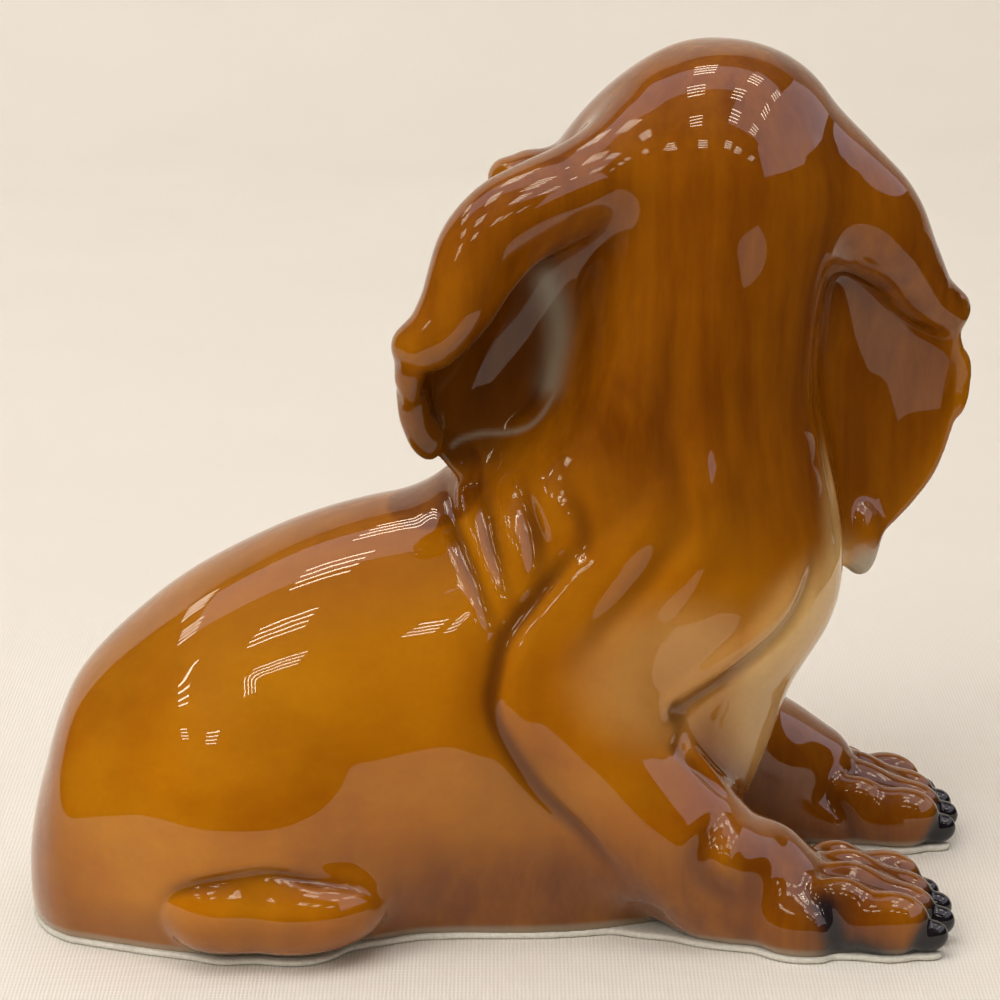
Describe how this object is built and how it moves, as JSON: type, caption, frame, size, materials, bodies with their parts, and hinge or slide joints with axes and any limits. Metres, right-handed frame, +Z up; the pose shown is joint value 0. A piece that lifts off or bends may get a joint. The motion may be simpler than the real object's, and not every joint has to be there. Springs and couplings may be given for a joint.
{
  "type": "dog figurine",
  "caption": "Glazed ceramic dachshund puppy lying down and looking back over its shoulder, standing on a flat bare underside.",
  "frame": {"origin": "centre of the bounding box at the level of the underside", "axes": "+X the way the body points, +Y the dog's left, +Z up"},
  "size_m": [0.1526, 0.0814, 0.1381],
  "materials": {
    "amber_glaze": "gloss",
    "russet_glaze": "gloss",
    "bare_porcelain": "matte"
  },
  "bodies": {
    "root": {"base_slab": "bare_porcelain", "torso_shell": "amber_glaze", "head_shell": "russet_glaze", "left_ear": "russet_glaze", "right_ear": "russet_glaze", "right_foreleg": "amber_glaze", "left_foreleg": "amber_glaze", "right_hind_leg": "amber_glaze", "left_hind_leg": "amber_glaze", "tail": "amber_glaze"}
  },
  "joints": []
}
